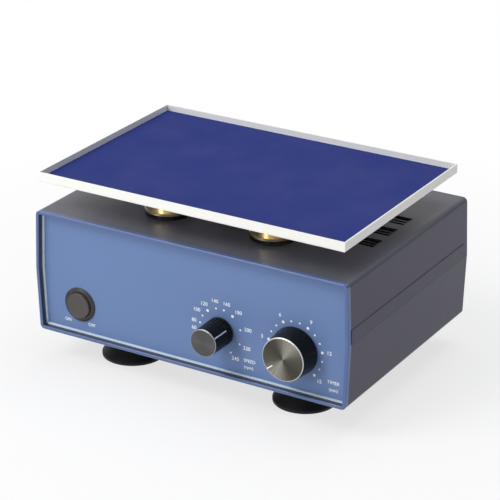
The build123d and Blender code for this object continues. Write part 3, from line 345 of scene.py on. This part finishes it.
def middle_of(box):
    low, high = box
    return (low + high) / 2


# Centres of the two knobs on the front, and how wide the cut edges of their caps are
SPEED = (0.0320, 0.0, 0.0721)
TIMER = (0.1094, 0.0, 0.0724)
SPEED_RIM = 0.6 * MM
TIMER_RIM = 0.8 * MM
# Angle and sharpness of the painted highlight wedges on the timer's cap
WEDGE_ANGLE = 26.0
WEDGE_SHARPNESS = 5.0
# Rise of the line between the two shells above the bottom of the lower one, and its height
PARTING_RISE = 62.5 * MM
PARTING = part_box("lower_case")[0].z + PARTING_RISE
# Middle and half size of the vents' sunken fields, of the line between the two shells and of
# the bezel's inner walls, where shade is painted into the case and bezel colours
VENT_FIELD = ((0.127, 0.01715, 0.1477), (0.0168, 0.0385, 0.0018))
PARTING_LINE = ((0.08, 0.0, PARTING), (0.10, 0.2, 0.00050))
BEZEL_WALLS = ((0.0, -0.100, 0.090), (0.1637, 0.0052, 0.0588))
BRASS = (0.74, 0.62, 0.38)

case = moulded(
    "case_plastic", (0.045, 0.042, 0.082), 0.30, grain=0.00003, shade=0.03, dull=0.015, gloss=0.22
)
# Painted highlight: upward faces of the case are lighter than its sides
case.cover(case.facing_up(), (0.120, 0.120, 0.150))
# Painted shade: the vents' sunken fields are near black
case.cover(case.within(*VENT_FIELD), (0.006, 0.006, 0.008))
# Painted shade: a dark band along the line between the two shells
case.cover(case.within(*PARTING_LINE), (0.010, 0.010, 0.014))
bezel = moulded("bezel_plastic", (0.085, 0.140, 0.320), 0.34, grain=0.00002, shade=0.05)
# Painted shade: the bezel's inner walls are darker than its front
bezel.cover(bezel.within(*BEZEL_WALLS), (0.030, 0.040, 0.090))
panel = painted(
    "panel_film", (0.142, 0.225, 0.435), 0.38, peel=0.00002, peel_scale=900.0, shade=0.03, gloss=0.3
)
rear = painted("rear_paint", (0.09, 0.09, 0.10), 0.5, peel=0.00008)
rubber = moulded("black_rubber", (0.014, 0.014, 0.016), 0.50, grain=0.00003, shade=0.12, gloss=0.2)
belt = moulded("belt_rubber", (0.022, 0.022, 0.022), 0.75, grain=0.00010, grain_scale=2400.0)
tray = painted("tray_paint", (0.90, 0.90, 0.85), 0.36, wear=(0.94, 0.94, 0.90))
fastener = brushed("zinc_plate", (0.60, 0.60, 0.60), 0.34, (1, 1, 1), 300.0, 0.0)
sheet = brushed("chassis_sheet", (0.52, 0.54, 0.56), 0.40)
shaft = brushed("ground_steel", (0.62, 0.62, 0.63), 0.22, (40, 40, 2), 40.0)
bearing = brushed("bearing_race", (0.70, 0.70, 0.71), 0.18, (1, 1, 30), 60.0)
iron = moulded("machined_iron", (0.16, 0.16, 0.17), 0.5, grain=0.00005, grain_scale=700.0, shade=0.15)
alloy = brushed("turned_alloy", (0.66, 0.67, 0.68), 0.30, (2, 2, 60), 60.0)
motor_paint = painted("motor_enamel", (0.03, 0.03, 0.033), 0.3, coat=0.3)
core = brushed("core_laminations", (0.18, 0.17, 0.16), 0.55, (1, 120, 1), 30.0, 0.0, 0.4)
coil = moulded("coil_tape", (0.52, 0.30, 0.05), 0.4, shade=0.15)
board = moulded("board_laminate", (0.02, 0.13, 0.05), 0.3, grain_scale=500.0, shade=0.2)
switch = moulded("switch_plastic", (0.040, 0.037, 0.037), 0.30, grain=0.00001, gloss=0.3)
button = moulded("button_plastic", (0.075, 0.068, 0.064), 0.34, grain=0.00002, gloss=0.3)
knob = moulded("knob_plastic", (0.007, 0.007, 0.007), 0.28, grain=0.00001, gloss=0.15)
control = brushed("control_can", (0.40, 0.41, 0.42), 0.45)
inlet = moulded("inlet_plastic", (0.015, 0.015, 0.015), 0.45)
spring = brushed("spring_wire", (0.62, 0.62, 0.62), 0.25)
timer_cap = turned("timer_cap_spun", (0.065, 0.062, 0.050), 0.30, TIMER, "Y", 0.85)
# Painted highlights on the timer's cap: bright wedges, then a bright cut edge
timer_cap.spun_light(TIMER, WEDGE_ANGLE, WEDGE_SHARPNESS, (0.36, 0.345, 0.30))
timer_cap.rim_light(TIMER, half_width("timer_knob_cap") - TIMER_RIM, (0.55, 0.55, 0.52))
speed_cap = turned("speed_cap_spun", (0.10, 0.10, 0.10), 0.32, SPEED, "Y", 0.7)
# Painted highlight on the speed cap's cut edge
speed_cap.rim_light(SPEED, half_width("speed_knob_cap") - SPEED_RIM, (0.30, 0.30, 0.29))

# Rubber mat: small close pimples on a faintly cloudy sheet
MAT_CLOUDS = 6.0
MAT_PATCHES = 24.0
PIMPLE_SCALE = 520.0
PIMPLE_SCATTER = 0.35
PIMPLE_FOOT = 0.8
PIMPLE_HEIGHT = 0.00012
PIMPLE_STRENGTH = 0.6

mat = Shader("mat_rubber", (0.022, 0.034, 0.180), 0.62, Specular_IOR_Level=0.08)
pimples = mat.new("TexVoronoi", Vector=mat.space(), Scale=PIMPLE_SCALE, Randomness=PIMPLE_SCATTER)
domes = mat.ranged(pimples.outputs["Distance"], 1.0, 0.0, 0.0, PIMPLE_FOOT)
mat.vary_color(mat.noise(MAT_CLOUDS, CLOUDY), 0.93, 1.07)
mat.vary_roughness(mat.noise(MAT_PATCHES), 0.56, 0.70)
mat.bump(domes, PIMPLE_HEIGHT, PIMPLE_STRENGTH)

# Brass hubs, turned on their own axes
hubs = {}
for corner in CORNERS:
    centre = tuple(middle_of(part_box("idler_hub_" + corner)))
    hubs[corner] = turned("hub_brass_" + corner, BRASS, 0.22, centre, "Z", 0.6)
centre = tuple(middle_of(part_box("drive_crank")))
drive_hub = turned("hub_brass_drive", BRASS, 0.24, centre, "Z", 0.6)

looks = {
    "upper_case": case, "lower_case": case, "front_bezel": bezel, "front_panel": panel,
    "rear_panel": rear, "suction_feet": rubber, "crank_seals": rubber, "drive_belt": belt,
    "tray_pan": tray, "tray_mat": mat, "chassis_plate": sheet, "motor_bracket": sheet,
    "chassis_pillars": fastener, "chassis_screws": fastener, "case_screws": fastener,
    "foot_screws": fastener, "mounting_screws": fastener, "tray_screws": fastener,
    "inlet_screws": fastener, "bushing_nuts": fastener, "main_bearing_housing": alloy,
    "idler_bearing_housings": alloy, "tray_bearing_cups": alloy, "driven_pulley": alloy,
    "motor_pulley": alloy, "main_bearings": bearing, "idler_bearings": bearing,
    "tray_bearings": bearing, "main_shaft": shaft, "drive_pin": shaft, "motor_shaft": shaft,
    "speed_spindle": shaft, "timer_spindle": shaft, "inlet_blades": shaft,
    "counterweight": iron, "motor": motor_paint, "transformer_core": core,
    "transformer_coil": coil, "control_board": board, "power_switch": switch,
    "power_button": button, "button_spring": spring, "speed_knob": knob, "timer_knob": knob,
    "speed_knob_cap": speed_cap, "timer_knob_cap": timer_cap, "speed_control": control,
    "timer_unit": control, "power_inlet": inlet, "fuse_drawer": inlet, "drive_crank": drive_hub,
}
for corner, look in hubs.items():
    looks["idler_hub_" + corner] = look
    looks["idler_pins_" + corner] = shaft

for name, node in nodes.items():
    for slot in node.material_slots:
        slot.material = looks[name].material

PRINT_CLOUDS = 300.0
BORDER_CLOUDS = 60.0
white = Shader("white_print", (0.92, 0.96, 1.0), 0.45)
white.vary_color(white.noise(PRINT_CLOUDS), 0.94, 1.04)
border_blue = Shader("border_print", (0.76, 0.88, 1.0), 0.30)
border_blue.vary_color(border_blue.noise(BORDER_CLOUDS), 0.94, 1.04)


# Meshes
def add_piece(name, shape, look, body):
    """New piece from a finished bmesh in the row frame, riding on a body."""
    mesh = bpy.data.meshes.new(name)
    bmesh.ops.recalc_face_normals(shape, faces=shape.faces)
    shape.to_mesh(mesh)
    shape.free()
    mesh.materials.append(look.material)
    piece = bpy.data.objects.new(name, mesh)
    bpy.context.scene.collection.objects.link(piece)
    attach(piece, body)


def close_loops(shape, loops):
    """Closed ring from the same number of corners at each of its stations."""
    for station, loop in enumerate(loops):
        after = loops[(station + 1) % len(loops)]
        for index in range(len(loop)):
            beside = (index + 1) % len(loop)
            shape.faces.new((loop[index], after[index], after[beside], loop[beside]))


# Prints on the front panel, with places, sizes and heights in millimetres
PANEL_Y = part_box("front_panel")[0].y
PRINT = 0.05 * MM
UPRIGHT = Matrix.Rotation(pi / 2, 4, "X")
CAP_SHARE = 0.70
LETTER_WEIGHT = 0.012
LETTER_STEPS = 3
DIGIT = 3.6
CAPTION = 3.2
UNIT = 3.0
DOT_SIDES = 20
DOT = 0.95
LARGE_DOT = 1.4
SPEED_DOTS = (-81, -60, -38, -12, 10, 36, 74, 112, 150)
LARGE_SPEED_DOTS = (-38, 36)
SPEED_DOT_RADIUS = 21.7
SPEED_LABELS = (
    ("60", 4.0, 69.0), ("80", 4.1, 76.5), ("100", 7.1, 87.5), ("120", 14.9, 95.0),
    ("140", 26.2, 100.3), ("160", 38.6, 99.9), ("180", 50.9, 94.6), ("200", 60.8, 79.8),
    ("220", 59.6, 61.4), ("240", 47.6, 48.4),
)
TIMER_DOT_RADIUS = 27.5
TIMER_LABEL_RADIUS = 34.5
TIMER_START = -135.0
TIMER_STEP = 18.0
TIMER_SPAN = 15
LABEL_EVERY = 3
CAPTIONS = (
    ("SPEED", 62.5, 49.3, CAPTION), ("(rpm)", 61.7, 43.0, UNIT),
    ("TIMER", 148.0, 50.1, CAPTION), ("(min)", 148.2, 43.0, UNIT),
    ("ON", -136.0, 43.3, CAPTION), ("OFF", -109.2, 43.3, CAPTION),
)


def on_panel(x, z):
    """Matrix that stands a flat print up on the panel."""
    return Matrix.Translation((x * MM, PANEL_Y - PRINT / 2, z * MM)) @ UPRIGHT


def add_word(shape, word, x, z, height):
    """Adds a word to a bmesh, centred on its place on the panel."""
    data = bpy.data.curves.new("word", "FONT")
    data.body = word
    data.size = height / CAP_SHARE * MM
    data.align_x = "CENTER"
    data.align_y = "CENTER"
    data.extrude = PRINT / 2
    data.offset = height * LETTER_WEIGHT * MM
    data.resolution_u = LETTER_STEPS
    holder = bpy.data.objects.new("word", data)
    bpy.context.scene.collection.objects.link(holder)
    bpy.context.view_layer.update()
    letters = bpy.data.meshes.new_from_object(holder)
    letters.transform(on_panel(x, z))
    shape.from_mesh(letters)
    bpy.data.objects.remove(holder)
    bpy.data.meshes.remove(letters)


def add_dot(shape, x, z, radius):
    """Adds a printed dot to a bmesh."""
    size = {"radius1": radius * MM, "radius2": radius * MM, "depth": PRINT}
    bmesh.ops.create_cone(shape, cap_ends=True, segments=DOT_SIDES, matrix=on_panel(x, z), **size)


def on_dial(centre, radius, angle):
    """Place on the panel at a clockwise angle from the top of a dial."""
    return (
        centre[0] / MM + radius * sin(radians(angle)),
        centre[2] / MM + radius * cos(radians(angle)),
    )


dots = bmesh.new()
letters = bmesh.new()
for angle in SPEED_DOTS:
    large = angle in LARGE_SPEED_DOTS
    add_dot(dots, *on_dial(SPEED, SPEED_DOT_RADIUS, angle), LARGE_DOT if large else DOT)
for word, x, z in SPEED_LABELS:
    add_word(letters, word, x, z, DIGIT)
for minute in range(TIMER_SPAN + 1):
    angle = TIMER_START + TIMER_STEP * minute
    large = minute % LABEL_EVERY == 0
    add_dot(dots, *on_dial(TIMER, TIMER_DOT_RADIUS, angle), LARGE_DOT if large else DOT)
    if large and minute:
        add_word(letters, str(minute), *on_dial(TIMER, TIMER_LABEL_RADIUS, angle), DIGIT)
for caption in CAPTIONS:
    add_word(letters, *caption)
add_piece("dial_dots", dots, white, "base")
add_piece("dial_lettering", letters, white, "base")

# Pale bead just inside the bezel's frame, with its outer corners in millimetres. The two
# corners between the heights of the bend stand level with their inner ones.
BORDER_WIDTH = 2.4
BORDER_THICK = 1.4 * MM
BEND_LOW = 60
BEND_HIGH = 120
BORDER_OUTER = (
    (-161.2, 32.6), (161.2, 32.6), (163.2, 92.5), (161.2, 147.4), (-161.2, 147.4), (-163.2, 92.5),
)
border = bmesh.new()
stations = []
for x, z in BORDER_OUTER:
    inner_x = x - BORDER_WIDTH * (1 if x > 0 else -1)
    inner_z = z if BEND_LOW < z < BEND_HIGH else z + BORDER_WIDTH * (1 if z < BEND_LOW else -1)
    front = PANEL_Y - BORDER_THICK
    section = ((x, front, z), (inner_x, front, inner_z), (inner_x, PANEL_Y, inner_z), (x, PANEL_Y, z))
    stations.append([border.verts.new((u * MM, y, w * MM)) for u, y, w in section])
close_loops(border, stations)
add_piece("panel_border", border, border_blue, "base")

# White fill in the pointer grooves of the two knobs, in millimetres and degrees, with the
# front and the back of each bar measured from the face it starts at
POINTER_WIDTH = 1.1
TIMER_MARK = {"angle": -128.0, "inner": 12.95, "outer": 20.1, "front": -0.02, "back": 0.38}
SPEED_MARK = {"angle": 60.0, "inner": 12.55, "outer": 13.25, "front": 0.05, "back": 19.4, "taper": 0.3}
BOX_FACES = ((0, 1, 2, 3), (7, 6, 5, 4), (0, 4, 5, 1), (1, 5, 6, 2), (2, 6, 7, 3), (3, 7, 4, 0))


def pointer(centre, face, angle, inner, outer, front, back, taper=0.0):
    """Radial bar at a clockwise angle, which reaches out farther at its back by the taper."""
    shape = bmesh.new()
    along = Vector((sin(radians(angle)), 0, cos(radians(angle))))
    sideways = Vector((along.z, 0, -along.x))
    origin = Vector((centre[0], 0, centre[2])) / MM
    verts = []
    for depth, reach in ((face + front, outer), (face + back, outer + taper)):
        for radius, side in ((inner, -1), (inner, 1), (reach, 1), (reach, -1)):
            corner = origin + along * radius + sideways * side * POINTER_WIDTH / 2
            verts.append(shape.verts.new((corner.x * MM, depth * MM, corner.z * MM)))
    for indices in BOX_FACES:
        shape.faces.new([verts[index] for index in indices])
    return shape


timer_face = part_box("timer_knob_cap")[0].y / MM
add_piece("timer_pointer", pointer(TIMER, timer_face, **TIMER_MARK), white, "timer_knob")

speed_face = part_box("speed_knob")[0].y / MM
add_piece("speed_pointer", pointer(SPEED, speed_face, **SPEED_MARK), white, "speed_knob")

# Polished flanges round the four idler hubs: radius and height of each corner, in millimetres
FLANGE = ((15.05, 154.0), (21.1, 154.0), (21.5, 154.4), (21.5, 156.4), (21.1, 156.8), (15.05, 156.8))
FLANGE_STEPS = 96
for corner in CORNERS:
    middle = middle_of(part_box("idler_hub_" + corner))
    flange = bmesh.new()
    stations = []
    for step in range(FLANGE_STEPS):
        angle = 2 * pi * step / FLANGE_STEPS
        out = Vector((cos(angle), sin(angle), 0))
        section = [Vector((middle.x, middle.y, z * MM)) + out * radius * MM for radius, z in FLANGE]
        stations.append([flange.verts.new(point) for point in section])
    close_loops(flange, stations)
    add_piece("hub_flange_" + corner, flange, hubs[corner], "idler_crank_" + corner)

# Floor, in metres, which glows more where it is seen the farther it is from the object
FLOOR_REACH = 8
FLOOR_PAPER = (0.90, 0.90, 0.91, 1)
FLOOR_GLOW = {"From_Min": 0.24, "From_Max": 0.60, "To_Min": 0.70, "To_Max": 1.0}

floor_mesh = bpy.data.meshes.new("floor")
floor_edges = ((-1, -1), (1, -1), (1, 1), (-1, 1))
floor_mesh.from_pydata([(x * FLOOR_REACH, y * FLOOR_REACH, 0) for x, y in floor_edges], [], [(0, 1, 2, 3)])
floor = bpy.data.objects.new("floor", floor_mesh)
bpy.context.scene.collection.objects.link(floor)
floor_look = bpy.data.materials.new("floor_paper")
floor_look.use_nodes = True
tree = floor_look.node_tree
tree.nodes.clear()
reach = add_math(tree, "VectorMath", "LENGTH", add_node(tree, "TexCoord").outputs["Object"])
glow_share = add_node(tree, "MapRange", Value=reach.outputs["Value"], **FLOOR_GLOW).outputs["Result"]
show_mixed(
    tree,
    "OutputMaterial",
    add_math(tree, "Math", "MULTIPLY", seen_directly(tree), glow_share).outputs[0],
    add_node(tree, "BsdfDiffuse", Color=FLOOR_PAPER),
    add_node(tree, "Emission", Color=WHITE, Strength=1.0),
)
floor_mesh.materials.append(floor_look)
